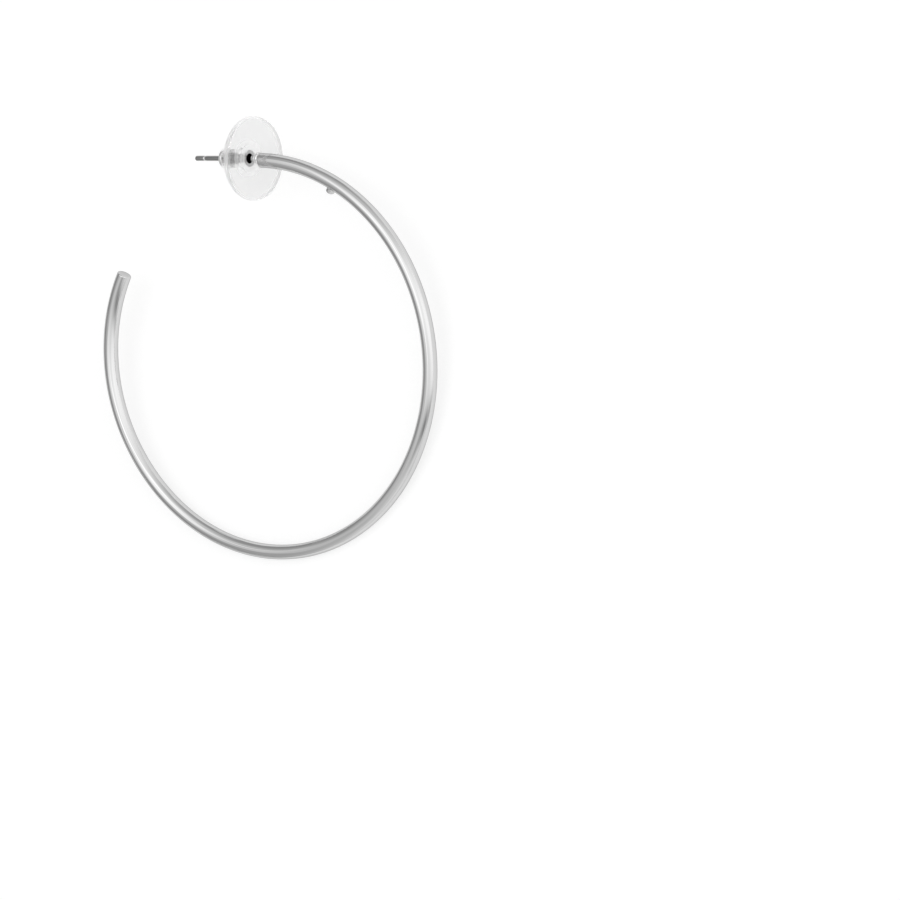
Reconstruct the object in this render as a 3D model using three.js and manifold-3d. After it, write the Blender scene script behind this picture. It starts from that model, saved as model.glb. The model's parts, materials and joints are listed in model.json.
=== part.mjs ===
// A large plain hoop earring with its push-on clutch, lying on its side as it rests by itself.
// Millimetres, +Z up. The hoop's own plane is its local XY plane, with the hoop's middle at the origin.
// Everything round that sits on the post is turned about local +Y, which points to the post's tip.
import * as THREE from 'three';
import { mergeVertices } from 'three/addons/utils/BufferGeometryUtils.js';
import { ConvexHull } from 'three/addons/math/ConvexHull.js';
import loadManifold from 'manifold-3d';

const wasm = await loadManifold();
wasm.setup();

// Hoop: one long arc of round wire that ends in a shorter, slightly tighter arc
const WIRE_DIAMETER = 2.0;
const HOOP_RADIUS = 26.6; // middle of the wire, on the long arc
const END_ARC_RADIUS = 24.2; // middle of the wire, on the last arc before the free end
const POST_END_ANGLE = 80.5; // degrees round the hoop from +X to the end that carries the post
const LONG_ARC_SWEEP = 250.5; // degrees
const END_ARC_SWEEP = 47.9; // degrees
const FREE_END_CHAMFER = 0.12;
const DEGREES_PER_STEP = 3;
const WIRE_SIDES = 16;

// Stop nub, soldered on the inside of the hoop
const NUB_ANGLE = 53.8; // degrees round the hoop from +X
const NUB_DIAMETER = 1.2;
const NUB_HEIGHT = 0.65; // stands out of the wire
const NUB_DOME = 0.35; // height of its rounded top
const NUB_SIDES = 12;

// End piece between the wire and the post: two beads and a cone, soldered on
const LARGE_BEAD_RADIUS = 0.87;
const LARGE_BEAD_LENGTH = 0.5;
const SMALL_BEAD_RADIUS = 0.66;
const SMALL_BEAD_LENGTH = 0.45;
const BEAD_GROOVE = 0.12; // how deep the grooves beside the beads are cut
const CONE_LENGTH = 0.5;
const CONE_WALL = 0.1; // metal round the post at the cone's tip
const END_PIECE_ROOT = 0.5; // how far it reaches into the wire
const END_PIECE_ROOT_RADIUS = 0.68;
const END_PIECE_SIDES = 24;

// Post: a thin steel pin with a rounded tip and one ring groove
const POST_DIAMETER = 0.7;
const POST_LENGTH = 11.75; // from the wire's end to the tip
const POST_OFFSET = 0.26; // its axis lies this far outside the middle line of the wire
const POST_TURN = 1.5; // degrees towards the hoop's middle, off the line of the wire's end
const POST_LEAN = 6.2; // degrees out of the hoop's plane
const POST_TIP_ROUND = 0.3;
const SOCKET_DEPTH = 1.2; // how far the post is set into the wire
const SOCKET_CLEARANCE = 0.04;
const GROOVE_FROM_TIP = 1.8;
const GROOVE_WIDTH = 0.34;
const GROOVE_DEPTH = 0.06;
const POST_SIDES = 16;

// Clutch, measured from the flat front of its hub, which faces the hoop
const CLUTCH_SEAT = 1.8; // front of the hub from the wire's end
const RUNNING_CLEARANCE = 0.05; // barrel on the post
const FITTING_CLEARANCE = 0.04; // barrel in the disc

// Barrel: a slim metal sleeve with a flange and a flared mouth in front, and a wide cap behind
const BARREL_DIAMETER = 1.4;
const BARREL_LENGTH = 4.7; // hub front to the end of the cap
const FLANGE_DIAMETER = 2.2;
const FLANGE_RECESS = 0.14; // front of the flange behind the hub front
const FLANGE_THICKNESS = 0.32;
const MOUTH_DIAMETER = 1.3;
const MOUTH_DEPTH = 1.1;
const CAP_DIAMETER = 2.8;
const CAP_THICKNESS = 0.6;
const CAP_ROUND = 0.14; // the rounding of its back edge
const BARREL_SIDES = 24;

// Disc: clear plastic, dished towards the hoop, with a hub and a collar
const DISC_DIAMETER = 11.4;
const DISC_THICKNESS = 0.62;
const DISC_DISH = 0.92; // front of the rim ahead of the hub front
const RIM_THICKNESS = 0.85;
const RIM_WIDTH = 0.35; // flat land round the rim
const HUB_DIAMETER = 3.8; // flat ring in front
const HUB_STEP = 0.2;
const STEP_DIAMETER = 5.14;
const MOUTH_BEVEL = 0.16; // round the hub's opening
const COLLAR_DIAMETER = 2.66;
const COLLAR_TO_CAP = 0.05; // from the collar's end to the barrel's cap
const COLLAR_FLARE = 1.0; // where the collar runs out into the disc
const DISH_CURVE = 1.5; // 1 is a straight cone, 2 a bowl
const DISH_STEPS = 6;
const DISC_SIDES = 48;

// Densities in grams per cubic millimetre, for the balance of the whole
const BRASS = 8.5e-3;
const STEEL = 7.9e-3;
const PLASTIC = 1.2e-3;
const LARGEST_LEAN_AT_REST = 30; // degrees between the hoop's plane and the surface

const wireRadius = WIRE_DIAMETER / 2;
const postRadius = POST_DIAMETER / 2;
const boreRadius = postRadius + RUNNING_CLEARANCE;
const socketRadius = postRadius + SOCKET_CLEARANCE;
const radians = THREE.MathUtils.degToRad;
const point = (radius, along) => new THREE.Vector2(radius, along);

// The middle line of the wire, from the post's end clockwise to the free end
class HoopLine extends THREE.Curve {
  constructor() {
    super();
    this.longLength = HOOP_RADIUS * radians(LONG_ARC_SWEEP);
    this.endLength = END_ARC_RADIUS * radians(END_ARC_SWEEP);
    this.joinAngle = radians(POST_END_ANGLE - LONG_ARC_SWEEP);
  }

  getPoint(t, target = new THREE.Vector3()) {
    const gone = t * (this.longLength + this.endLength);
    if (gone <= this.longLength) {
      return target.copy(hoopPoint(radians(POST_END_ANGLE) - gone / HOOP_RADIUS, HOOP_RADIUS));
    }
    const angle = this.joinAngle - (gone - this.longLength) / END_ARC_RADIUS;
    const centre = hoopPoint(this.joinAngle, HOOP_RADIUS - END_ARC_RADIUS);
    return target.copy(hoopPoint(angle, END_ARC_RADIUS)).add(centre);
  }
}

function hoopPoint(angle, radius) {
  return new THREE.Vector3(radius * Math.cos(angle), radius * Math.sin(angle), 0);
}

// A closed mesh with shared corners, from any closed geometry
function closedMesh(geometry) {
  const bare = geometry.clone();
  bare.deleteAttribute('normal');
  bare.deleteAttribute('uv');
  return mergeVertices(bare, 1e-4);
}

function solidOf(geometry) {
  const mesh = closedMesh(geometry);
  return new wasm.Manifold(new wasm.Mesh({
    numProp: 3,
    vertProperties: new Float32Array(mesh.attributes.position.array),
    triVerts: new Uint32Array(mesh.index.array),
  }));
}

function geometryOf(solid) {
  const mesh = solid.getMesh();
  const geometry = new THREE.BufferGeometry();
  geometry.setAttribute('position', new THREE.BufferAttribute(mesh.vertProperties, mesh.numProp));
  geometry.setIndex(new THREE.BufferAttribute(mesh.triVerts, 1));
  return geometry;
}

// A turned shape about +Y, from its outline of radius and distance along the axis
function turned(outline, sides) {
  return closedMesh(new THREE.LatheGeometry(outline, sides));
}

// A place whose +Y points along a direction
function placeAlong(direction, position) {
  const turn = new THREE.Quaternion().setFromUnitVectors(new THREE.Vector3(0, 1, 0), direction);
  return new THREE.Matrix4().compose(position, turn, new THREE.Vector3(1, 1, 1));
}

// Where the post leaves the wire, and which way it points
function postPlace() {
  const heading = radians(POST_END_ANGLE + POST_TURN);
  const lean = radians(POST_LEAN);
  const onwards = new THREE.Vector3(-Math.sin(heading), Math.cos(heading), 0);
  const direction = onwards.multiplyScalar(Math.cos(lean)).add(new THREE.Vector3(0, 0, -Math.sin(lean)));
  return placeAlong(direction, hoopPoint(radians(POST_END_ANGLE), HOOP_RADIUS + POST_OFFSET));
}

function wire() {
  const line = new HoopLine();
  const section = new THREE.Shape().absarc(0, 0, wireRadius, 0, 2 * Math.PI);
  return new THREE.ExtrudeGeometry(section, {
    extrudePath: line,
    steps: Math.round((LONG_ARC_SWEEP + END_ARC_SWEEP) / DEGREES_PER_STEP),
    curveSegments: WIRE_SIDES / 2,
  });
}

// The ring that is cut away round the edge of the free end
function freeEndBevel() {
  const line = new HoopLine();
  const outside = wireRadius * 1.5;
  const slope = outside - wireRadius + FREE_END_CHAMFER;
  const ring = turned([
    point(wireRadius - FREE_END_CHAMFER, 0),
    point(outside, -slope),
    point(outside, slope),
    point(wireRadius - FREE_END_CHAMFER, 0),
  ], END_PIECE_SIDES);
  return ring.applyMatrix4(placeAlong(line.getTangent(1), line.getPoint(1)));
}

function stopNub() {
  const radius = NUB_DIAMETER / 2;
  const foot = 0;
  const top = wireRadius + NUB_HEIGHT;
  const side = top - NUB_DOME;
  const dome = [90, 60, 30].map((a) => point(
    radius * Math.sin(radians(a)),
    side + NUB_DOME * Math.cos(radians(a)),
  ));
  const nub = turned([point(0, foot), point(radius, foot), ...dome, point(0, top)], NUB_SIDES);
  const inwards = hoopPoint(radians(NUB_ANGLE), -1);
  return nub.applyMatrix4(placeAlong(inwards, hoopPoint(radians(NUB_ANGLE), HOOP_RADIUS)));
}

// The outline of one rounded bead between two grooves
function bead(start, length, radius) {
  const groove = radius - BEAD_GROOVE;
  return [0, 45, 90, 135, 180].map((a) => point(
    groove + BEAD_GROOVE * Math.sin(radians(a)),
    start + length * (1 - Math.cos(radians(a))) / 2,
  ));
}

function endPiece() {
  const coneStart = LARGE_BEAD_LENGTH + SMALL_BEAD_LENGTH;
  return turned([
    point(0, -END_PIECE_ROOT),
    point(END_PIECE_ROOT_RADIUS, -END_PIECE_ROOT),
    point(END_PIECE_ROOT_RADIUS, 0),
    ...bead(0, LARGE_BEAD_LENGTH, LARGE_BEAD_RADIUS),
    ...bead(LARGE_BEAD_LENGTH, SMALL_BEAD_LENGTH, SMALL_BEAD_RADIUS),
    point(socketRadius + CONE_WALL, coneStart + CONE_LENGTH),
    point(0, coneStart + CONE_LENGTH),
  ], END_PIECE_SIDES);
}

function socket() {
  return turned([
    point(0, -SOCKET_DEPTH),
    point(socketRadius, -SOCKET_DEPTH),
    point(socketRadius, CLUTCH_SEAT),
    point(0, CLUTCH_SEAT),
  ], POST_SIDES);
}

function hoop() {
  const place = postPlace();
  const solid = solidOf(wire())
    .subtract(solidOf(freeEndBevel()))
    .add(solidOf(stopNub()))
    .add(solidOf(endPiece().applyMatrix4(place)))
    .subtract(solidOf(socket().applyMatrix4(place)));
  return geometryOf(solid);
}

function post() {
  const foot = SOCKET_CLEARANCE - SOCKET_DEPTH;
  const groove = POST_LENGTH - GROOVE_FROM_TIP;
  const shoulder = POST_LENGTH - POST_TIP_ROUND;
  const tip = [90, 55, 25].map((a) => point(
    postRadius * Math.sin(radians(a)),
    shoulder + POST_TIP_ROUND * Math.cos(radians(a)),
  ));
  return turned([
    point(0, foot),
    point(postRadius, foot),
    point(postRadius, groove - GROOVE_WIDTH / 2),
    point(postRadius - GROOVE_DEPTH, groove - GROOVE_WIDTH / 4),
    point(postRadius - GROOVE_DEPTH, groove + GROOVE_WIDTH / 4),
    point(postRadius, groove + GROOVE_WIDTH / 2),
    ...tip,
    point(0, POST_LENGTH),
  ], POST_SIDES);
}

function clutchBarrel() {
  const bodyRadius = BARREL_DIAMETER / 2;
  const flangeBack = FLANGE_RECESS + FLANGE_THICKNESS;
  const capFront = BARREL_LENGTH - CAP_THICKNESS;
  const capRadius = CAP_DIAMETER / 2;
  const capEdge = [0, 45, 90].map((a) => point(
    capRadius - CAP_ROUND * (1 - Math.cos(radians(a))),
    BARREL_LENGTH - CAP_ROUND * (1 - Math.sin(radians(a))),
  ));
  const front = point(MOUTH_DIAMETER / 2, FLANGE_RECESS);
  return turned([
    front,
    point(FLANGE_DIAMETER / 2, FLANGE_RECESS),
    point(FLANGE_DIAMETER / 2, flangeBack),
    point(bodyRadius, flangeBack),
    point(bodyRadius, capFront),
    point(capRadius, capFront),
    ...capEdge,
    point(boreRadius, BARREL_LENGTH),
    point(boreRadius, FLANGE_RECESS + MOUTH_DEPTH),
    front,
  ], BARREL_SIDES);
}

// One face of the dished plate, from the hub out to the rim
function dishFace(innerRadius, innerAlong, outerRadius, outerAlong) {
  const points = [];
  for (let i = 0; i <= DISH_STEPS; i += 1) {
    const share = i / DISH_STEPS;
    points.push(point(
      THREE.MathUtils.lerp(innerRadius, outerRadius, share),
      THREE.MathUtils.lerp(innerAlong, outerAlong, share ** DISH_CURVE),
    ));
  }
  return points;
}

function clutchDisc() {
  const rimRadius = DISC_DIAMETER / 2;
  const landRadius = rimRadius - RIM_WIDTH;
  const rimFront = -DISC_DISH;
  const rimBack = rimFront + RIM_THICKNESS;
  const rimRound = RIM_THICKNESS / 4;
  const stepRadius = STEP_DIAMETER / 2;
  const hubRadius = HUB_DIAMETER / 2;
  const pocketRadius = FLANGE_DIAMETER / 2 + FITTING_CLEARANCE;
  const pocketDepth = FLANGE_RECESS + FLANGE_THICKNESS + FITTING_CLEARANCE;
  const collarBore = BARREL_DIAMETER / 2 + FITTING_CLEARANCE;
  const collarRadius = COLLAR_DIAMETER / 2;
  const collarEnd = BARREL_LENGTH - CAP_THICKNESS - COLLAR_TO_CAP;
  const plateBack = HUB_STEP + DISC_THICKNESS;
  const mouth = point(pocketRadius, MOUTH_BEVEL);
  const front = dishFace(stepRadius, HUB_STEP, landRadius, rimFront);
  const back = dishFace(stepRadius, plateBack, landRadius, rimBack).reverse();
  return turned([
    point(pocketRadius + MOUTH_BEVEL, 0),
    point(hubRadius, 0),
    point(hubRadius + HUB_STEP / 2, HUB_STEP),
    ...front,
    point(rimRadius - rimRound, rimFront),
    point(rimRadius, rimFront + rimRound),
    point(rimRadius, rimBack - rimRound),
    point(rimRadius - rimRound, rimBack),
    ...back,
    point(collarRadius + COLLAR_FLARE, plateBack + COLLAR_FLARE / 3),
    point(collarRadius, plateBack + COLLAR_FLARE),
    point(collarRadius, collarEnd),
    point(collarBore, collarEnd),
    point(collarBore, pocketDepth),
    point(pocketRadius, pocketDepth),
    mouth,
    point(pocketRadius + MOUTH_BEVEL, 0),
  ], DISC_SIDES);
}

const silver = { color: 0xd8d8d6, roughness: 0.22, metalness: 1.0 };
const darkSteel = { color: 0x7c7c7c, roughness: 0.35, metalness: 1.0 };
const nickel = { color: 0xcfcfcd, roughness: 0.2, metalness: 1.0 };
const clearPlastic = { color: 0xf2f2f2, roughness: 0.1, metalness: 0.0, transparent: true, opacity: 0.35 };

function piece(name, geometry, finish) {
  const mesh = new THREE.Mesh(geometry, new THREE.MeshStandardMaterial(finish));
  mesh.name = name;
  return mesh;
}

// Every corner of the pieces, and their common centre of mass, in the hoop's own frame
function weighed(pieces) {
  const corners = [];
  const balance = new THREE.Vector3();
  let total = 0;
  for (const [mesh, density] of pieces) {
    mesh.updateWorldMatrix(true, false);
    const index = mesh.geometry.index;
    const corner = (i) => new THREE.Vector3()
      .fromBufferAttribute(mesh.geometry.attributes.position, index.getX(i))
      .applyMatrix4(mesh.matrixWorld);
    for (let i = 0; i < index.count; i += 3) {
      const [a, b, c] = [corner(i), corner(i + 1), corner(i + 2)];
      const mass = density * a.dot(b.clone().cross(c)) / 6;
      total += mass;
      balance.addScaledVector(a.clone().add(b).add(c), mass / 4);
      corners.push(a, b, c);
    }
  }
  return { corners, balance: balance.divideScalar(total) };
}

// The way down when the hoop lies on its side: the face of the hull that lies nearest the balance
function wayDown({ corners, balance }) {
  const hull = new ConvexHull().setFromPoints(corners);
  const underside = new THREE.Vector3(0, 0, -1);
  const flatEnough = Math.cos(radians(LARGEST_LEAN_AT_REST));
  let nearest = Infinity;
  let down = underside;
  for (const face of hull.faces) {
    const distance = -face.distanceToPoint(balance);
    if (face.normal.dot(underside) > flatEnough && distance < nearest) {
      nearest = distance;
      down = face.normal.clone();
    }
  }
  return down;
}

// Turns the group so that it rests on z = 0, with the middle of its box over the origin
function layDown(group, pieces) {
  const rest = weighed(pieces);
  group.quaternion.setFromUnitVectors(wayDown(rest), new THREE.Vector3(0, 0, -1));
  group.updateMatrixWorld(true);
  const box = new THREE.Box3().setFromObject(group, true);
  const middle = box.getCenter(new THREE.Vector3());
  group.position.set(-middle.x, -middle.y, -box.min.z);
}

const hoopMesh = piece('hoop', hoop(), silver);
const postMesh = piece('ear_post', post(), darkSteel);
const barrelMesh = piece('clutch_barrel', clutchBarrel(), nickel);
const discMesh = piece('clutch_disc', clutchDisc(), clearPlastic);

const clutch = new THREE.Group();
clutch.position.set(0, CLUTCH_SEAT, 0);
clutch.add(barrelMesh, discMesh);

const onPost = new THREE.Group();
onPost.applyMatrix4(postPlace());
onPost.add(postMesh, clutch);

const earring = new THREE.Group();
earring.add(hoopMesh, onPost);
layDown(earring, [[hoopMesh, BRASS], [postMesh, STEEL], [barrelMesh, BRASS], [discMesh, PLASTIC]]);

export default earring;
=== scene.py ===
"""A large hoop earring lying on a pale floor: polished wire, steel post and a clear push-on clutch.

Metres, +Z up. The hoop is modelled in its own plane and what sits on the post about its own axis,
and each finished piece is then put where the frame's solids lie.
"""
import json
import math

import bmesh
import bpy
import numpy as np
from mathutils import Matrix, Vector


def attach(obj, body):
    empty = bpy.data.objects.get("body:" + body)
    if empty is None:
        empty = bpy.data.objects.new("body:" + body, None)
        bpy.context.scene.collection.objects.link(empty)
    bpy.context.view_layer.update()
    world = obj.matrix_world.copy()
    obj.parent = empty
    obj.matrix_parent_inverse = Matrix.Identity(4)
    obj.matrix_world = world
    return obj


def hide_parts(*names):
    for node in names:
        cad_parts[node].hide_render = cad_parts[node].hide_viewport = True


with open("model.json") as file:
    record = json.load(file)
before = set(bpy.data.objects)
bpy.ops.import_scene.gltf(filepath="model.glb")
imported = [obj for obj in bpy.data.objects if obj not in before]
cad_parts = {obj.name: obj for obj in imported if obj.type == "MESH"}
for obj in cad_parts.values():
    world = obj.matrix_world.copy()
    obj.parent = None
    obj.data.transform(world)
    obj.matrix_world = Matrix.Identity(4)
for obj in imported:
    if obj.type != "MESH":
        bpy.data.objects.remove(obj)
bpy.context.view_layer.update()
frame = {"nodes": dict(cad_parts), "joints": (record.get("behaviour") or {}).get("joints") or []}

MM = 0.001

# Hoop
WIRE_RADIUS = 1.0 * MM
HOOP_RADIUS = 26.6 * MM  # middle of the wire on the long arc
END_ARC_RADIUS = 24.2 * MM
POST_END_ANGLE = math.radians(80.5)
LONG_ARC_SWEEP = math.radians(250.5)
END_ARC_SWEEP = math.radians(47.9)
END_PIECE_REACH = 0.3  # radians past the free end, and beyond them only the end piece lies
FREE_END_ROUND = 0.18 * MM  # both rounds stay under the 0.22 mm from one ring of the wire to the next
SHOULDER_ROUND = 0.19 * MM
WIRE_SIDES = 48
LONG_ARC_STEPS = 500
END_ARC_STEPS = 90

# Stop nub inside the hoop
NUB_ANGLE = math.radians(53.8)
NUB_RADIUS = 0.6 * MM
NUB_HEIGHT = 0.65 * MM
NUB_DOME = 0.35 * MM
NUB_FILLET = 0.14 * MM
NUB_FOOT = 0.6 * WIRE_RADIUS  # from the middle of the wire
NUB_FILLET_FOOT = 0.8 * WIRE_RADIUS
NUB_SIDES = 40

# End piece: two beads and a cone between the wire and the post
LARGE_BEAD_RADIUS = 0.87 * MM
LARGE_BEAD_LENGTH = 0.5 * MM
SMALL_BEAD_RADIUS = 0.66 * MM
SMALL_BEAD_LENGTH = 0.45 * MM
BEAD_GROOVE = 0.12 * MM
CONE_LENGTH = 0.75 * MM
CONE_WALL = 0.09 * MM
END_PIECE_ROOT = 0.5 * MM
END_PIECE_ROOT_RADIUS = 0.68 * MM
END_PIECE_SIDES = 64

# Post
POST_RADIUS = 0.35 * MM
POST_LENGTH = 11.75 * MM
POST_OFFSET = 0.26 * MM  # its axis lies this far outside the middle line of the wire
POST_TURN = math.radians(1.5)  # towards the hoop's middle, off the line of the wire's end
POST_TIP_ROUND = 0.3 * MM
POST_END_GAP = 0.05 * MM  # to the bottom of its socket
POST_END_RADIUS = 0.9 * POST_RADIUS
POST_END_CHAMFER = 0.05 * MM
SOCKET_DEPTH = 1.1 * MM
SOCKET_CLEARANCE = 0.015 * MM
GROOVE_FROM_TIP = 1.8 * MM
GROOVE_WIDTH = 0.34 * MM
GROOVE_DEPTH = 0.06 * MM
POST_SIDES = 40

# Clutch, measured from the flat front of its hub
CLUTCH_SEAT = 1.8 * MM
BARREL_RADIUS = 0.7 * MM
BARREL_LENGTH = 4.7 * MM
BARREL_BORE = 0.4 * MM
FLANGE_RADIUS = 1.1 * MM
FLANGE_RECESS = 0.14 * MM
FLANGE_THICKNESS = 0.32 * MM
MOUTH_RADIUS = 0.65 * MM
MOUTH_DEPTH = 1.1 * MM
CAP_RADIUS = 1.4 * MM
CAP_THICKNESS = 0.6 * MM
CAP_ROUND = 0.22 * MM
EDGE_ROUND = 0.05 * MM
BARREL_SIDES = 96

DISC_RADIUS = 5.7 * MM
DISC_THICKNESS = 0.62 * MM
DISC_DISH = 0.92 * MM
RIM_THICKNESS = 0.85 * MM
RIM_ROUND = 0.38 * RIM_THICKNESS
RIM_WIDTH = 0.35 * MM
HUB_RADIUS = 1.9 * MM
HUB_STEP = 0.2 * MM
STEP_RADIUS = 2.57 * MM
STEP_RIDGE = 0.06 * MM
MOUTH_BEVEL = 0.16 * MM
COLLAR_RADIUS = 1.33 * MM
COLLAR_TO_CAP = 0.05 * MM
COLLAR_END = BARREL_LENGTH - CAP_THICKNESS - COLLAR_TO_CAP
COLLAR_FLARE = 1.0 * MM
DISH_CURVE = 1.5
DISH_STEPS = 18
FITTING_CLEARANCE = 0.02 * MM
DISC_SIDES = 160

# Photograph: frame of 900 by 900 pixels, with the hoop's middle at this place in it
PHOTO_SIZE = 900
HOOP_MIDDLE_IN_PHOTO = (269.3, 356.3)
PIXELS_PER_MM = 7.404
HOOP_INCLINE = math.radians(36.27)  # between the hoop's axis and the line of sight
HOOP_LEAN_IN_PHOTO = math.radians(10.26)  # the long way of its outline leans to the left
LENS_MM = 1200.0
SENSOR_MM = 36.0

# Finish of the wire; streaks have a scale for the cosine and sine round it and for each mm along it
WIRE_TONES = (0.60, 0.67)
STREAK_TONES = (-0.03, 0.03)
FINE_STREAKS = (6.0, 6.0, 0.12)
BROAD_STREAKS = (2.2, 2.2, 0.08)
STREAK_HEIGHT = 0.025 * MM
BROAD_SHARE = 1.5
SPECK_SHARE = 0.02
WIRE_ROUGHNESS = 0.02
STREAK_ROUGHNESS = 0.03
SPECK_ROUGHNESS = 0.02
# painted highlight: the end piece's beads and cone are made brighter than the wire to stand in for their
# sparkle
END_PIECE_PAINTED_HIGHLIGHT = 0.3  # brighter than the wire by this much
END_PIECE_MARGIN = 0.02 * MM
WIRE_END_MARGIN = 0.03 * MM

# Tones of the metals on the post, among them a painted highlight and painted shade, and the haze and tones
# of the plastic
RING_HEIGHT = 0.01 * MM
RING_STRENGTH = 0.3
RINGS_ROUGHEN = 0.08
MARKS_DARKEN = 0.15
POST_TONE = 0.38
# painted highlight: the post's groove is made brighter than the rest of the post
GROOVE_HIGHLIGHT_TONE = 0.75
POST_ROUGHNESS = 0.12
BODY_TONE = 0.44
BODY_ROUGHNESS = 0.2
CAP_TONE = 0.95
CAP_ROUGHNESS = 0.22
# painted shade: nearly black on the post where the clutch covers it at rest, and inside the barrel's mouth
PAINTED_SHADE_TONE = 0.01
PLATE_HAZE = 0.04
RIM_HAZE = 0.45
RIM_BLUR = 0.22  # width of the hazy edge, in mm
HUB_HAZE = 0.28
FLOW_HEIGHT = 0.02 * MM
FLOW_STRENGTH = 0.25
CLEAR_TONES = (0.81, 0.84)
MILKY_TONES = (0.90, 0.94)
CLEAR_ROUGHNESS = 0.05
GRAIN_ROUGHNESS = 0.03
RIM_ROUGHNESS = 0.3
MILKY_ROUGHNESS = 0.35
PLASTIC_IOR = 1.1
EDGE_TINT = 0.6

# Studio: soft lights as azimuth and elevation in degrees, tightness and strength
TABLE_TONES = (0.43, 0.45)
TABLE_LIGHT = 0.62
TENT_LIGHT = 0.35
SOFT_LIGHTS = [
    (126, 80, 7.2, 1.13),
    (-1, 22, 2.7, 1.10),
    (-93, 15, 5.5, 0.56),
]
GAP_TOWARDS = (-58, 34)
GAP_ACROSS = (0.537, 0.705, 0.464)
GAP_SHIFT = 0.09
GAP_TIGHTNESS = 3.1
GAP_NARROWNESS = 55.0
GAP_DEPTH = 0.62


def node_points(name):
    """A solid's corners, each once."""
    corners = np.array([vert.co for vert in frame["nodes"][name].data.vertices], float)
    return np.unique(np.round(corners, 7), axis=0)


# Where the solids lie: the post's axis from the joint, the hoop's plane from its own points
slide = next(joint for joint in frame["joints"] if joint["name"] == "clutch_slide")
post_axis = Vector(slide["axis"]).normalized()
post_middle = Vector(node_points("ear_post").mean(axis=0))
post_tip_along = max((Vector(p) - post_middle).dot(post_axis) for p in node_points("ear_post"))
post_start = post_middle + post_axis * (post_tip_along - POST_LENGTH)


def hoop_normal():
    """The axis of the hoop, upwards, from the wire that lies clear of the end piece."""
    clear_of_end = 6 * MM
    points = node_points("hoop")
    wire = points[np.linalg.norm(points - np.array(post_start), axis=1) > clear_of_end]
    normal = Vector(np.linalg.eigh(np.cov(wire.T))[1][:, 0])
    return normal if normal.z > 0 else -normal


hoop_up = hoop_normal()
post_lean = math.asin(-post_axis.dot(hoop_up))
post_onwards = (post_axis + hoop_up * math.sin(post_lean)).normalized()
post_outwards = post_onwards.cross(hoop_up)
outwards = post_outwards * math.cos(POST_TURN) - post_onwards * math.sin(POST_TURN)
onwards = hoop_up.cross(outwards)
hoop_middle = post_start - outwards * (HOOP_RADIUS + POST_OFFSET)


def place_matrix(x_axis, y_axis, z_axis, origin):
    """The place of a frame with these axes and origin."""
    turn = Matrix((x_axis, y_axis, z_axis)).transposed().to_4x4()
    return Matrix.Translation(origin) @ turn


# The hoop's frame starts at its post end on +X. The post's frame has the post along +Z.
hoop_place = place_matrix(outwards, onwards, hoop_up, hoop_middle)
post_place = place_matrix(post_outwards, post_axis.cross(post_outwards), post_axis, post_start)
clutch_place = post_place @ Matrix.Translation((0, 0, CLUTCH_SEAT))


# Camera: the photograph's line of sight to the hoop

def make_camera():
    """Sees the hoop as the photograph does: its incline and lean give where its own axes point."""
    along_minor = Vector((math.cos(HOOP_LEAN_IN_PHOTO), math.sin(HOOP_LEAN_IN_PHOTO), 0))
    along_major = Vector((-math.sin(HOOP_LEAN_IN_PHOTO), math.cos(HOOP_LEAN_IN_PHOTO), 0))
    seen_x = along_minor * math.cos(HOOP_INCLINE) + Vector((0, 0, math.sin(HOOP_INCLINE)))
    seen_y = along_major
    seen_z = seen_x.cross(seen_y)
    hoop_x = (outwards * math.cos(POST_END_ANGLE) - onwards * math.sin(POST_END_ANGLE)).normalized()
    hoop_y = (outwards * math.sin(POST_END_ANGLE) + onwards * math.cos(POST_END_ANGLE)).normalized()
    right, up, back = [
        hoop_x * seen_x[k] + hoop_y * seen_y[k] + hoop_up * seen_z[k] for k in range(3)
    ]
    photo_width = PHOTO_SIZE / PIXELS_PER_MM * MM
    distance = photo_width * LENS_MM / SENSOR_MM
    to_right = (PHOTO_SIZE / 2 - HOOP_MIDDLE_IN_PHOTO[0]) / PIXELS_PER_MM * MM
    to_top = (HOOP_MIDDLE_IN_PHOTO[1] - PHOTO_SIZE / 2) / PIXELS_PER_MM * MM
    position = hoop_middle + back * distance
    aim = hoop_middle + right * to_right + up * to_top
    forward = (aim - position).normalized()
    side = forward.cross(up).normalized()
    data = bpy.data.cameras.new("camera")
    data.lens = LENS_MM
    data.sensor_width = SENSOR_MM
    data.clip_start = 0.1
    data.clip_end = 50.0
    camera = bpy.data.objects.new("camera", data)
    camera.matrix_world = place_matrix(side, side.cross(forward), -forward, position)
    bpy.context.scene.collection.objects.link(camera)
    bpy.context.scene.camera = camera


make_camera()


# Modelling helpers

def deselect_all():
    if bpy.context.object and bpy.context.object.mode != "OBJECT":
        bpy.ops.object.mode_set(mode="OBJECT")
    bpy.ops.object.select_all(action="DESELECT")


def arc(middle_radius, middle_along, size, start, end, steps):
    """Outline rows on a round corner, from one angle to another in degrees; 0 points outwards."""
    rows = []
    for step in range(steps + 1):
        angle = math.radians(start + (end - start) * step / steps)
        rows.append((middle_radius + size * math.cos(angle), middle_along + size * math.sin(angle)))
    return rows


def bead(start, length, radius):
    """Outline rows of one rounded bead between two grooves."""
    rows = []
    for degrees in range(0, 181, 15):
        angle = math.radians(degrees)
        groove = radius - BEAD_GROOVE
        along = start + length * (1 - math.cos(angle)) / 2
        rows.append((groove + BEAD_GROOVE * math.sin(angle), along))
    return rows


def extend_ring(outline, origin, axis):
    """Extrudes the selected ring through an outline of (radius, along) rows about an axis."""
    for (radius, along), (next_radius, next_along) in zip(outline, outline[1:]):
        step = axis * (next_along - along)
        bpy.ops.mesh.extrude_edges_move(TRANSFORM_OT_translate={"value": step})
        ratio = next_radius / radius
        centre = origin + axis * next_along
        bpy.ops.transform.resize(value=(ratio, ratio, ratio), center_override=centre)


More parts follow.
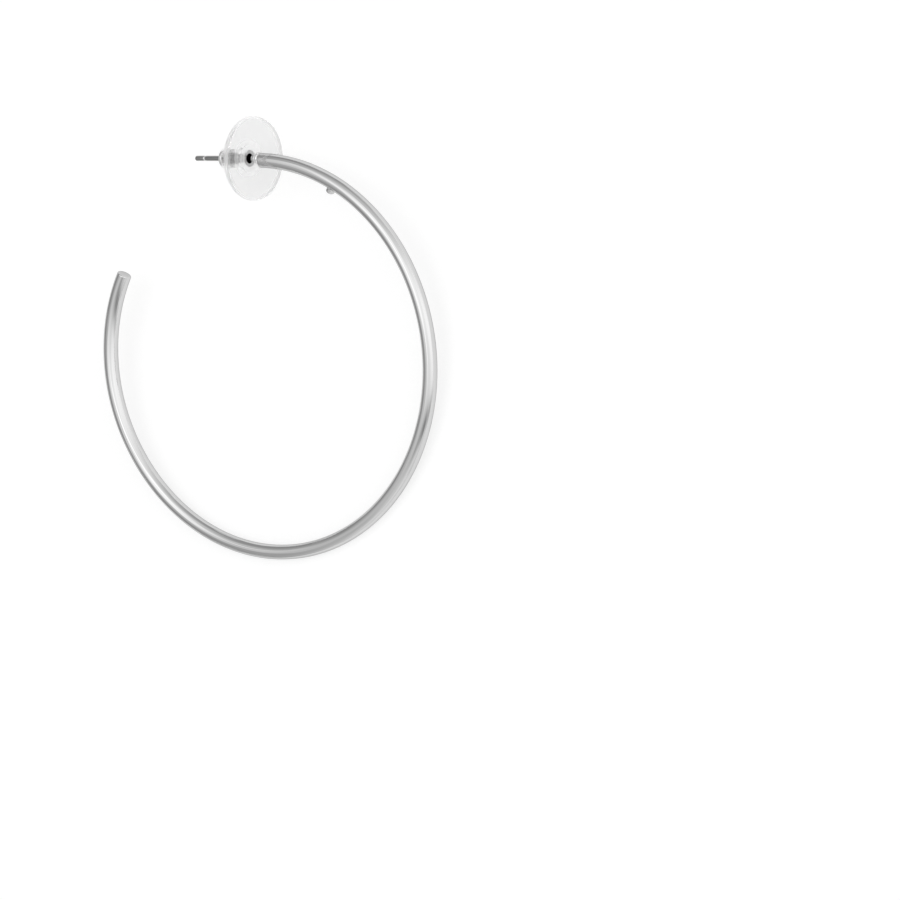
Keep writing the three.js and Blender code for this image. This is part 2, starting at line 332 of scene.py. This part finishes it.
def turn(name, outline, sides, ends="filled"):
    """Turns a piece about +Z; its ends are filled, or the outline closes on itself."""
    deselect_all()
    radius, along = outline[0]
    bpy.ops.mesh.primitive_circle_add(vertices=sides, radius=radius, location=(0, 0, along))
    piece = bpy.context.object
    piece.name = piece.data.name = name
    bpy.ops.object.transform_apply(location=True, rotation=True, scale=True)
    bpy.ops.object.mode_set(mode="EDIT")
    bpy.ops.mesh.select_all(action="SELECT")
    if ends == "filled":
        bpy.ops.mesh.edge_face_add()
    extend_ring(outline, Vector((0, 0, 0)), Vector((0, 0, 1)))
    if ends == "filled":
        bpy.ops.mesh.edge_face_add()
    close_surface()
    return piece


def close_surface():
    """Joins what lies on itself and points all faces outwards, then leaves edit mode."""
    bpy.ops.mesh.select_all(action="SELECT")
    bpy.ops.mesh.remove_doubles(threshold=1e-7)
    bpy.ops.mesh.normals_make_consistent(inside=False)
    bpy.ops.object.mode_set(mode="OBJECT")


def select_points(piece, wanted):
    """In edit mode, selects the points whose place passes a test."""
    bpy.ops.mesh.select_all(action="DESELECT")
    mesh = bmesh.from_edit_mesh(piece.data)
    for vert in mesh.verts:
        vert.select = wanted(vert.co)
    mesh.select_flush(True)
    bmesh.update_edit_mesh(piece.data)


def put(piece, place, smooth_angle=40):
    """Puts a piece in its place, with the place in its mesh, and smooths it."""
    deselect_all()
    piece.matrix_world = place
    piece.select_set(True)
    bpy.context.view_layer.objects.active = piece
    bpy.ops.object.transform_apply(location=True, rotation=True, scale=True)
    bpy.ops.object.shade_smooth_by_angle(angle=math.radians(smooth_angle))


def combine(piece, other, operation):
    """Joins another solid to a piece, or cuts it away."""
    deselect_all()
    bpy.context.view_layer.objects.active = piece
    piece.select_set(True)
    change = piece.modifiers.new("change", "BOOLEAN")
    change.operation = operation
    change.solver = "EXACT"
    change.object = other
    bpy.ops.object.modifier_apply(modifier=change.name)
    bpy.data.objects.remove(other)


# Pieces

def end_piece():
    """Two beads and a cone, turned as one piece about the post's axis."""
    beads_end = LARGE_BEAD_LENGTH + SMALL_BEAD_LENGTH
    tip_radius = POST_RADIUS + SOCKET_CLEARANCE + CONE_WALL
    tip = beads_end + CONE_LENGTH
    piece = turn("end_piece", [
        (END_PIECE_ROOT_RADIUS, -END_PIECE_ROOT),
        (END_PIECE_ROOT_RADIUS, -EDGE_ROUND),
        *bead(0, LARGE_BEAD_LENGTH, LARGE_BEAD_RADIUS),
        *bead(LARGE_BEAD_LENGTH, SMALL_BEAD_LENGTH, SMALL_BEAD_RADIUS)[1:],
        (tip_radius, tip - CONE_WALL / 2),
        (tip_radius - CONE_WALL / 2, tip),
    ], END_PIECE_SIDES)
    put(piece, post_place)
    return piece


def socket():
    """The hole that the post sits in, cut from its bottom out past the end piece."""
    radius = POST_RADIUS + SOCKET_CLEARANCE
    hole = turn("socket", [(radius, -SOCKET_DEPTH), (radius, CLUTCH_SEAT)], POST_SIDES)
    put(hole, post_place)
    return hole


def wire_arcs():
    """The round wire, as one long arc and the tighter last arc, with rounded flat ends."""
    deselect_all()
    bpy.ops.mesh.primitive_circle_add(
        vertices=WIRE_SIDES,
        radius=WIRE_RADIUS,
        location=(HOOP_RADIUS, 0, 0),
        rotation=(math.radians(90), 0, 0),
    )
    piece = bpy.context.object
    piece.name = piece.data.name = "hoop_wire"
    bpy.ops.object.transform_apply(location=True, rotation=True, scale=True)
    bpy.ops.object.mode_set(mode="EDIT")
    bpy.ops.mesh.select_all(action="SELECT")
    bpy.ops.mesh.spin(steps=LONG_ARC_STEPS, angle=LONG_ARC_SWEEP, center=(0, 0, 0), axis=(0, 0, 1))
    shift = HOOP_RADIUS - END_ARC_RADIUS
    end_middle = (shift * math.cos(LONG_ARC_SWEEP), -shift * math.sin(LONG_ARC_SWEEP), 0)
    bpy.ops.mesh.spin(steps=END_ARC_STEPS, angle=END_ARC_SWEEP, center=end_middle, axis=(0, 0, 1))
    bpy.ops.mesh.edge_face_add()
    bpy.ops.mesh.bevel(offset=FREE_END_ROUND, segments=5, affect="EDGES")
    tiny = 1e-6
    select_points(piece, lambda co: abs(co.y) < tiny and co.x > 0)
    bpy.ops.mesh.edge_face_add()
    bpy.ops.mesh.bevel(offset=SHOULDER_ROUND, segments=5, affect="EDGES")
    close_surface()
    return piece


def hoop_wire():
    """The wire with its stop nub and its end piece, which are soldered on."""
    piece = wire_arcs()
    combine(piece, stop_nub(), "UNION")
    put(piece, hoop_place)
    combine(piece, end_piece(), "UNION")
    combine(piece, socket(), "DIFFERENCE")
    return piece


def stop_nub():
    """A small domed stud that grows out of the wire with a fillet of solder."""
    top = WIRE_RADIUS + NUB_HEIGHT
    side = top - NUB_DOME
    outline = [(NUB_RADIUS + NUB_FILLET, NUB_FOOT), (NUB_RADIUS + NUB_FILLET, NUB_FILLET_FOOT)]
    for degrees in range(0, 91, 15):
        angle = math.radians(degrees)
        outline.append((
            NUB_RADIUS + NUB_FILLET * (1 - math.sin(angle)),
            NUB_FILLET_FOOT + 2 * NUB_FILLET * (1 - math.cos(angle)),
        ))
    for degrees in range(90, 0, -10):
        angle = math.radians(degrees)
        outline.append((NUB_RADIUS * math.sin(angle), side + NUB_DOME * math.cos(angle)))
    nub = turn("stop_nub", outline, NUB_SIDES)
    angle = NUB_ANGLE - POST_END_ANGLE
    outward = Vector((math.cos(angle), math.sin(angle), 0))
    sideways = Vector((-math.sin(angle), math.cos(angle), 0))
    put(nub, place_matrix(Vector((0, 0, 1)), sideways, -outward, outward * HOOP_RADIUS))
    return nub


def ear_pin():
    """The post: its end in the socket, the ring groove and the rounded tip."""
    groove = POST_LENGTH - GROOVE_FROM_TIP
    shoulder = POST_LENGTH - POST_TIP_ROUND
    foot = POST_END_GAP - SOCKET_DEPTH
    outline = [(POST_END_RADIUS, foot), (POST_RADIUS, foot + POST_END_CHAMFER)]
    for degrees in range(0, 361, 30):
        angle = math.radians(degrees)
        depth = GROOVE_DEPTH * (1 - math.cos(angle)) / 2
        outline.append((POST_RADIUS - depth, groove + GROOVE_WIDTH * (degrees / 360 - 0.5)))
    for degrees in range(90, 0, -10):
        angle = math.radians(degrees)
        outline.append((POST_RADIUS * math.sin(angle), shoulder + POST_TIP_ROUND * math.cos(angle)))
    pin = turn("ear_pin", outline, POST_SIDES)
    put(pin, post_place)
    return pin


def clutch_sleeve():
    """The metal barrel: a flared mouth in a flange, a slim body, and a wide cap behind."""
    flange_back = FLANGE_RECESS + FLANGE_THICKNESS
    cap_front = BARREL_LENGTH - CAP_THICKNESS
    first = (BARREL_BORE, FLANGE_RECESS + MOUTH_DEPTH)
    outline = [
        first,
        (MOUTH_RADIUS, FLANGE_RECESS + EDGE_ROUND),
        (MOUTH_RADIUS + EDGE_ROUND, FLANGE_RECESS),
        *arc(FLANGE_RADIUS - EDGE_ROUND, FLANGE_RECESS + EDGE_ROUND, EDGE_ROUND, -90, 0, 4),
        *arc(FLANGE_RADIUS - EDGE_ROUND, flange_back - EDGE_ROUND, EDGE_ROUND, 0, 90, 4),
        (BARREL_RADIUS, flange_back),
        (BARREL_RADIUS, cap_front),
        *arc(CAP_RADIUS - EDGE_ROUND, cap_front + EDGE_ROUND, EDGE_ROUND, -90, 0, 4),
        *arc(CAP_RADIUS - CAP_ROUND, BARREL_LENGTH - CAP_ROUND, CAP_ROUND, 0, 90, 6),
        *arc(BARREL_BORE + EDGE_ROUND, BARREL_LENGTH - EDGE_ROUND, EDGE_ROUND, 90, 180, 3),
        first,
    ]
    sleeve = turn("clutch_sleeve", outline, BARREL_SIDES, ends="closed")
    put(sleeve, clutch_place)
    return sleeve


def dish_face(inner, outer):
    """Outline rows of one face of the dished plate, from its hub to its rim."""
    rows = []
    for step in range(DISH_STEPS + 1):
        share = step / DISH_STEPS
        rows.append((
            inner[0] + (outer[0] - inner[0]) * share,
            inner[1] + (outer[1] - inner[1]) * share ** DISH_CURVE,
        ))
    return rows


def flare(radius, start, size):
    """Outline rows of the hollow curve where the collar runs out into the plate."""
    rows = []
    for degrees in range(75, -1, -15):
        share = 1 - math.cos(math.radians(degrees))
        rows.append((radius + size * share, start + size * (1 - math.sin(math.radians(degrees)))))
    return rows


def clear_dish():
    """The clear disc: stepped hub in front, thin dished plate, round rim, collar behind."""
    land = DISC_RADIUS - RIM_WIDTH
    rim_middle = DISC_RADIUS - RIM_ROUND
    rim_front = -DISC_DISH
    rim_back = rim_front + RIM_THICKNESS
    pocket = FLANGE_RADIUS + FITTING_CLEARANCE
    pocket_depth = FLANGE_RECESS + FLANGE_THICKNESS + FITTING_CLEARANCE
    bore = BARREL_RADIUS + FITTING_CLEARANCE
    plate_back = HUB_STEP + DISC_THICKNESS
    small = 2 * EDGE_ROUND
    first = (pocket, MOUTH_BEVEL)
    outline = [
        first,
        *arc(pocket + MOUTH_BEVEL, MOUTH_BEVEL, MOUTH_BEVEL, 180, 270, 6)[1:],
        *arc(HUB_RADIUS - small, small, small, -90, 0, 5),
        (HUB_RADIUS + 0.3 * small, HUB_STEP - 0.2 * small),
        (HUB_RADIUS + small, HUB_STEP),
        (STEP_RADIUS - small, HUB_STEP),
        (STEP_RADIUS - 0.4 * small, HUB_STEP - 0.7 * STEP_RIDGE),
        *dish_face((STEP_RADIUS, HUB_STEP - STEP_RIDGE), (land, rim_front)),
        *arc(rim_middle, rim_front + RIM_ROUND, RIM_ROUND, -90, 0, 7),
        *arc(rim_middle, rim_back - RIM_ROUND, RIM_ROUND, 0, 90, 7),
        *reversed(dish_face((STEP_RADIUS, plate_back), (land, rim_back))),
        *flare(COLLAR_RADIUS, plate_back, COLLAR_FLARE),
        *arc(COLLAR_RADIUS - small, COLLAR_END - small, small, 0, 90, 5),
        (bore + EDGE_ROUND, COLLAR_END),
        (bore, COLLAR_END - EDGE_ROUND),
        (bore, pocket_depth),
        (pocket, pocket_depth),
        first,
    ]
    dish = turn("clear_dish", outline, DISC_SIDES, ends="closed")
    put(dish, clutch_place, smooth_angle=50)
    return dish


# Materials

class Value:
    """One number's or colour's socket, so that shader maths reads as arithmetic."""

    def __init__(self, nodes, socket):
        self.nodes = nodes
        self.socket = socket

    def maths(self, operation, *values):
        return self.nodes.node("ShaderNodeMath", {"operation": operation}, dict(enumerate(values)))

    def __add__(self, other):
        return self.maths("ADD", self, other)

    def __mul__(self, other):
        return self.maths("MULTIPLY", self, other)

    def __sub__(self, other):
        return self.maths("SUBTRACT", self, other)

    def __rsub__(self, other):
        return self.maths("SUBTRACT", other, self)

    def exp(self):
        return self.maths("EXPONENT", self)

    def between(self, first, second):
        """From the first number, where this one is 0, to the second, where it is 1."""
        return self * (second - first) + first

    def bell(self, middle, width):
        """1 in the middle, and nearly 0 at twice the width from it."""
        off = (self - middle) * (1 / width)
        return (off * off * -1).exp()

    def above(self, length):
        """1 where this distance in millimetres is over a length in metres, and 0 elsewhere."""
        return self.maths("GREATER_THAN", self, length / MM)

    def below(self, length):
        """1 where this distance in millimetres is under a length in metres, and 0 elsewhere."""
        return self.maths("LESS_THAN", self, length / MM)

    __radd__ = __add__
    __rmul__ = __mul__


class Nodes:
    """A node tree that is filled one node at a time."""

    def __init__(self, tree):
        self.tree = tree
        tree.nodes.clear()

    def node(self, kind, settings=None, inputs=None, output=0):
        made = self.tree.nodes.new(kind)
        for name, value in (settings or {}).items():
            setattr(made, name, value)
        for name, value in (inputs or {}).items():
            if isinstance(value, Value):
                self.tree.links.new(value.socket, made.inputs[name])
            else:
                made.inputs[name].default_value = value
        return Value(self, made.outputs[output]) if len(made.outputs) else made

    def vector(self, operation, *values, output=0):
        return self.node("ShaderNodeVectorMath", {"operation": operation}, dict(enumerate(values)), output)

    def dot(self, vector, direction):
        return self.vector("DOT_PRODUCT", vector, tuple(direction), output=1)


def new_material(name):
    """A material with an empty node tree."""
    material = bpy.data.materials.new(name)
    material.use_nodes = True
    return material, Nodes(material.node_tree)


def finish_material(nodes, shader):
    """Sends a shader to the material's surface."""
    nodes.node("ShaderNodeOutputMaterial", None, {"Surface": shader})


def object_place(nodes):
    """Object coordinates in millimetres."""
    place = nodes.node("ShaderNodeTexCoord", output=3)
    return nodes.vector("MULTIPLY", place, (1000, 1000, 1000))


def place_on_post(nodes, place):
    """Distance along the post from the wire's end, and from its axis, in millimetres."""
    from_start = nodes.vector("SUBTRACT", place, tuple(post_start / MM))
    along = nodes.dot(from_start, post_axis)
    off_axis = nodes.vector("CROSS_PRODUCT", from_start, tuple(post_axis))
    across = nodes.vector("LENGTH", off_axis, output=1)
    return along, across


def grey(value):
    return (value, value, value, 1)


def noise(nodes, place, scale, detail):
    """Soft unevenness, from 0 to 1."""
    settings = {"Vector": place, "Scale": scale, "Detail": detail}
    return nodes.node("ShaderNodeTexNoise", None, settings)


def bump(nodes, strength, distance, height):
    """The surface's direction, unsettled by a height from 0 to 1 that stands for a distance."""
    settings = {"Strength": strength, "Distance": distance, "Height": height}
    return nodes.node("ShaderNodeBump", None, settings)


def polished_silver():
    """Softly polished plating, with fine marks that run along the wire, and a painted highlight that
    brightens the end piece.
    """
    material, nodes = new_material("polished_silver")
    run = nodes.node("ShaderNodeAttribute", {"attribute_name": "wire_run"}, output=1)
    place = object_place(nodes)
    fine = noise(nodes, nodes.vector("MULTIPLY", run, FINE_STREAKS), scale=1.0, detail=1.0)
    broad = noise(nodes, nodes.vector("MULTIPLY", run, BROAD_STREAKS), scale=1.0, detail=1.0)
    specks = noise(nodes, place, scale=9.0, detail=4.0)
    height = fine + broad * BROAD_SHARE + specks * SPECK_SHARE
    along, across = place_on_post(nodes, place)
    past_wire = along.above(WIRE_END_MARGIN)
    on_end_piece = across.below(LARGE_BEAD_RADIUS + END_PIECE_MARGIN) * past_wire
    # painted highlight: the end piece is made brighter than the wire
    tone = broad.between(*WIRE_TONES) + fine.between(*STREAK_TONES) + on_end_piece * END_PIECE_PAINTED_HIGHLIGHT
    shader = nodes.node("ShaderNodeBsdfPrincipled", None, {
        "Base Color": tone,
        "Metallic": 1.0,
        "Roughness": WIRE_ROUGHNESS + fine * STREAK_ROUGHNESS + specks * SPECK_ROUGHNESS,
        "Specular Tint": grey(EDGE_TINT),
        "Normal": bump(nodes, 1.0, STREAK_HEIGHT, height),
    })
    finish_material(nodes, shader)
    return material


def turned_metal(nodes, place, along, across, tone, roughness, ring_scale):
    """Metal with the fine rings of turning about the post."""
    rings = nodes.node("ShaderNodeTexNoise", {"noise_dimensions": "1D"}, {
        "W": (along + across * 0.35) * ring_scale, "Scale": 1.0, "Detail": 3.0,
    })
    marks = noise(nodes, place, scale=5.0, detail=4.0)
    height = rings + marks * 0.3
    return nodes.node("ShaderNodeBsdfPrincipled", None, {
        "Base Color": tone * (1 + MARKS_DARKEN - (rings + marks) * MARKS_DARKEN),
        "Metallic": 1.0,
        "Specular Tint": grey(EDGE_TINT),
        "Roughness": rings * RINGS_ROUGHEN + roughness,
        "Normal": bump(nodes, RING_STRENGTH, RING_HEIGHT, height),
    })


def post_steel():
    """Dark steel with a painted highlight on its groove, and painted shade, nearly black, where the clutch
    covers it at rest.
    """
    material, nodes = new_material("post_steel")
    place = object_place(nodes)
    along, across = place_on_post(nodes, place)
    # painted highlight along the groove
    groove = along.bell((POST_LENGTH - GROOVE_FROM_TIP) / MM, GROOVE_WIDTH / 2 / MM)
    # painted shade: the post is nearly black where the clutch covers it at rest
    out_of_clutch = along.above(CLUTCH_SEAT + BARREL_LENGTH)
    tone = out_of_clutch.between(PAINTED_SHADE_TONE, POST_TONE) + groove * (GROOVE_HIGHLIGHT_TONE - POST_TONE)
    finish_material(nodes, turned_metal(nodes, place, along, across, tone, POST_ROUGHNESS, 9.0))
    return material


def barrel_metal():
    """Bright satin plating on the cap, greyer on the body and flange, and painted shade, nearly black,
    inside the mouth.
    """
    material, nodes = new_material("barrel_metal")
    place = object_place(nodes)
    along, across = place_on_post(nodes, place)
    cap_front = CLUTCH_SEAT + BARREL_LENGTH - CAP_THICKNESS - EDGE_ROUND
    on_cap = along.above(cap_front)
    outside = across.above(MOUTH_RADIUS + EDGE_ROUND / 2)
    # painted shade: nearly black inside the mouth
    tone = on_cap.between(BODY_TONE, CAP_TONE) * outside + PAINTED_SHADE_TONE
    roughness = on_cap.between(BODY_ROUGHNESS, CAP_ROUGHNESS)
    finish_material(nodes, turned_metal(nodes, place, along, across, tone, roughness, 7.0))
    return material


def clear_plastic():
    """Clear moulded plastic, a little milky round its hub and at its rim."""
    material, nodes = new_material("clear_plastic")
    place = object_place(nodes)
    along, across = place_on_post(nodes, place)
    flow = noise(nodes, place, scale=0.55, detail=2.0)
    grain = noise(nodes, place, scale=6.0, detail=2.0)
    surface = bump(nodes, FLOW_STRENGTH, FLOW_HEIGHT, flow + grain * 0.15)
    at_rim = across.bell(DISC_RADIUS / MM, RIM_BLUR)
    clear = nodes.node("ShaderNodeBsdfPrincipled", None, {
        "Base Color": flow.between(*CLEAR_TONES),
        "Roughness": at_rim * RIM_ROUGHNESS + CLEAR_ROUGHNESS + grain * GRAIN_ROUGHNESS,
        "IOR": PLASTIC_IOR,
        "Transmission Weight": 1.0,
        "Normal": surface,
    })
    milky = nodes.node("ShaderNodeBsdfPrincipled", None, {
        "Base Color": grain.between(*MILKY_TONES),
        "Roughness": MILKY_ROUGHNESS,
        "Normal": surface,
    })
    half_flare = CLUTCH_SEAT + HUB_STEP + DISC_THICKNESS + COLLAR_FLARE / 2
    at_hub = across.below(STEP_RADIUS) * along.below(half_flare)
    haze = at_rim * RIM_HAZE + at_hub * HUB_HAZE + PLATE_HAZE
    shader = nodes.node("ShaderNodeMixShader", None, {0: haze, 1: clear, 2: milky})
    finish_material(nodes, shader)
    return material


def pale_floor():
    """A light table: a matt white sheet that is also lit from below."""
    material, nodes = new_material("pale_floor")
    grain = noise(nodes, object_place(nodes), scale=0.02, detail=2.0)
    shader = nodes.node("ShaderNodeBsdfPrincipled", None, {
        "Base Color": grain.between(*TABLE_TONES),
        "Roughness": 0.7,
        "Specular IOR Level": 0.1,
        "Emission Color": grey(1.0),
        "Emission Strength": TABLE_LIGHT,
    })
    finish_material(nodes, shader)
    return material


def mark_wire_run(piece):
    """Stores, for each point, its direction round the wire and its distance along it in mm."""
    points = np.array([vert.co for vert in piece.data.vertices])
    to_hoop = np.array(hoop_place.inverted())
    local = points @ to_hoop[:3, :3].T + to_hoop[:3, 3]
    angle = -np.arctan2(local[:, 1], local[:, 0]) % (2 * math.pi)
    on_long_arc = (angle < LONG_ARC_SWEEP) | (angle > LONG_ARC_SWEEP + END_ARC_SWEEP + END_PIECE_REACH)
    shift = HOOP_RADIUS - END_ARC_RADIUS
    middle = np.array([shift * math.cos(LONG_ARC_SWEEP), -shift * math.sin(LONG_ARC_SWEEP), 0])
    from_end = local - middle
    to_long_arc = np.hypot(local[:, 0], local[:, 1])
    to_end_arc = np.hypot(from_end[:, 0], from_end[:, 1])
    radius = np.where(on_long_arc, to_long_arc, to_end_arc)
    wire = np.where(on_long_arc, HOOP_RADIUS, END_ARC_RADIUS)
    round_wire = np.arctan2(local[:, 2], radius - wire)
    run = np.stack([np.cos(round_wire), np.sin(round_wire), angle * HOOP_RADIUS / MM], axis=1)
    attribute = piece.data.attributes.new("wire_run", "FLOAT_VECTOR", "POINT")
    attribute.data.foreach_set("vector", run.astype(np.float32).ravel())


def dress(piece, material):
    """Gives a piece its material."""
    piece.data.materials.clear()
    piece.data.materials.append(material)


# Light and floor

def pointing(azimuth, elevation):
    """A direction from degrees round from +X and degrees above the floor."""
    turned, raised = math.radians(azimuth), math.radians(elevation)
    level = math.cos(raised)
    return Vector((level * math.cos(turned), level * math.sin(turned), math.sin(raised)))


def studio_light():
    """A dim tent with soft lights, and a darker gap between two of them."""
    world = bpy.data.worlds.new("studio")
    world.use_nodes = True
    nodes = Nodes(world.node_tree)
    direction = nodes.node("ShaderNodeTexCoord", output=0)
    light = TENT_LIGHT
    for azimuth, elevation, tightness, strength in SOFT_LIGHTS:
        nearness = nodes.dot(direction, pointing(azimuth, elevation))
        light = ((nearness - 1.0) * tightness).exp() * strength + light
    nearness = nodes.dot(direction, pointing(*GAP_TOWARDS))
    across = nodes.dot(direction, Vector(GAP_ACROSS).normalized()) - GAP_SHIFT
    fade = (nearness - 1.0) * GAP_TIGHTNESS - across * across * GAP_NARROWNESS
    light = light - fade.exp() * GAP_DEPTH
    background = nodes.node("ShaderNodeBackground", None, {"Color": light, "Strength": 1.0})
    nodes.node("ShaderNodeOutputWorld", None, {"Surface": background})
    bpy.context.scene.world = world


def make_floor():
    """A wide pale sheet under the earring."""
    deselect_all()
    bpy.ops.mesh.primitive_plane_add(size=6.0, location=(0, 0, 0))
    floor = bpy.context.object
    floor.name = "floor"
    dress(floor, pale_floor())


# The object

wire = hoop_wire()
mark_wire_run(wire)
dress(wire, polished_silver())
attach(wire, "hoop")
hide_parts("hoop")

pin = ear_pin()
dress(pin, post_steel())
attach(pin, "hoop")
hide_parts("ear_post")

sleeve = clutch_sleeve()
dress(sleeve, barrel_metal())
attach(sleeve, "clutch")
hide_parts("clutch_barrel")

dish = clear_dish()
dish.visible_shadow = False
dress(dish, clear_plastic())
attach(dish, "clutch")
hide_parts("clutch_disc")

make_floor()
studio_light()
bpy.context.scene.view_settings.view_transform = "Standard"
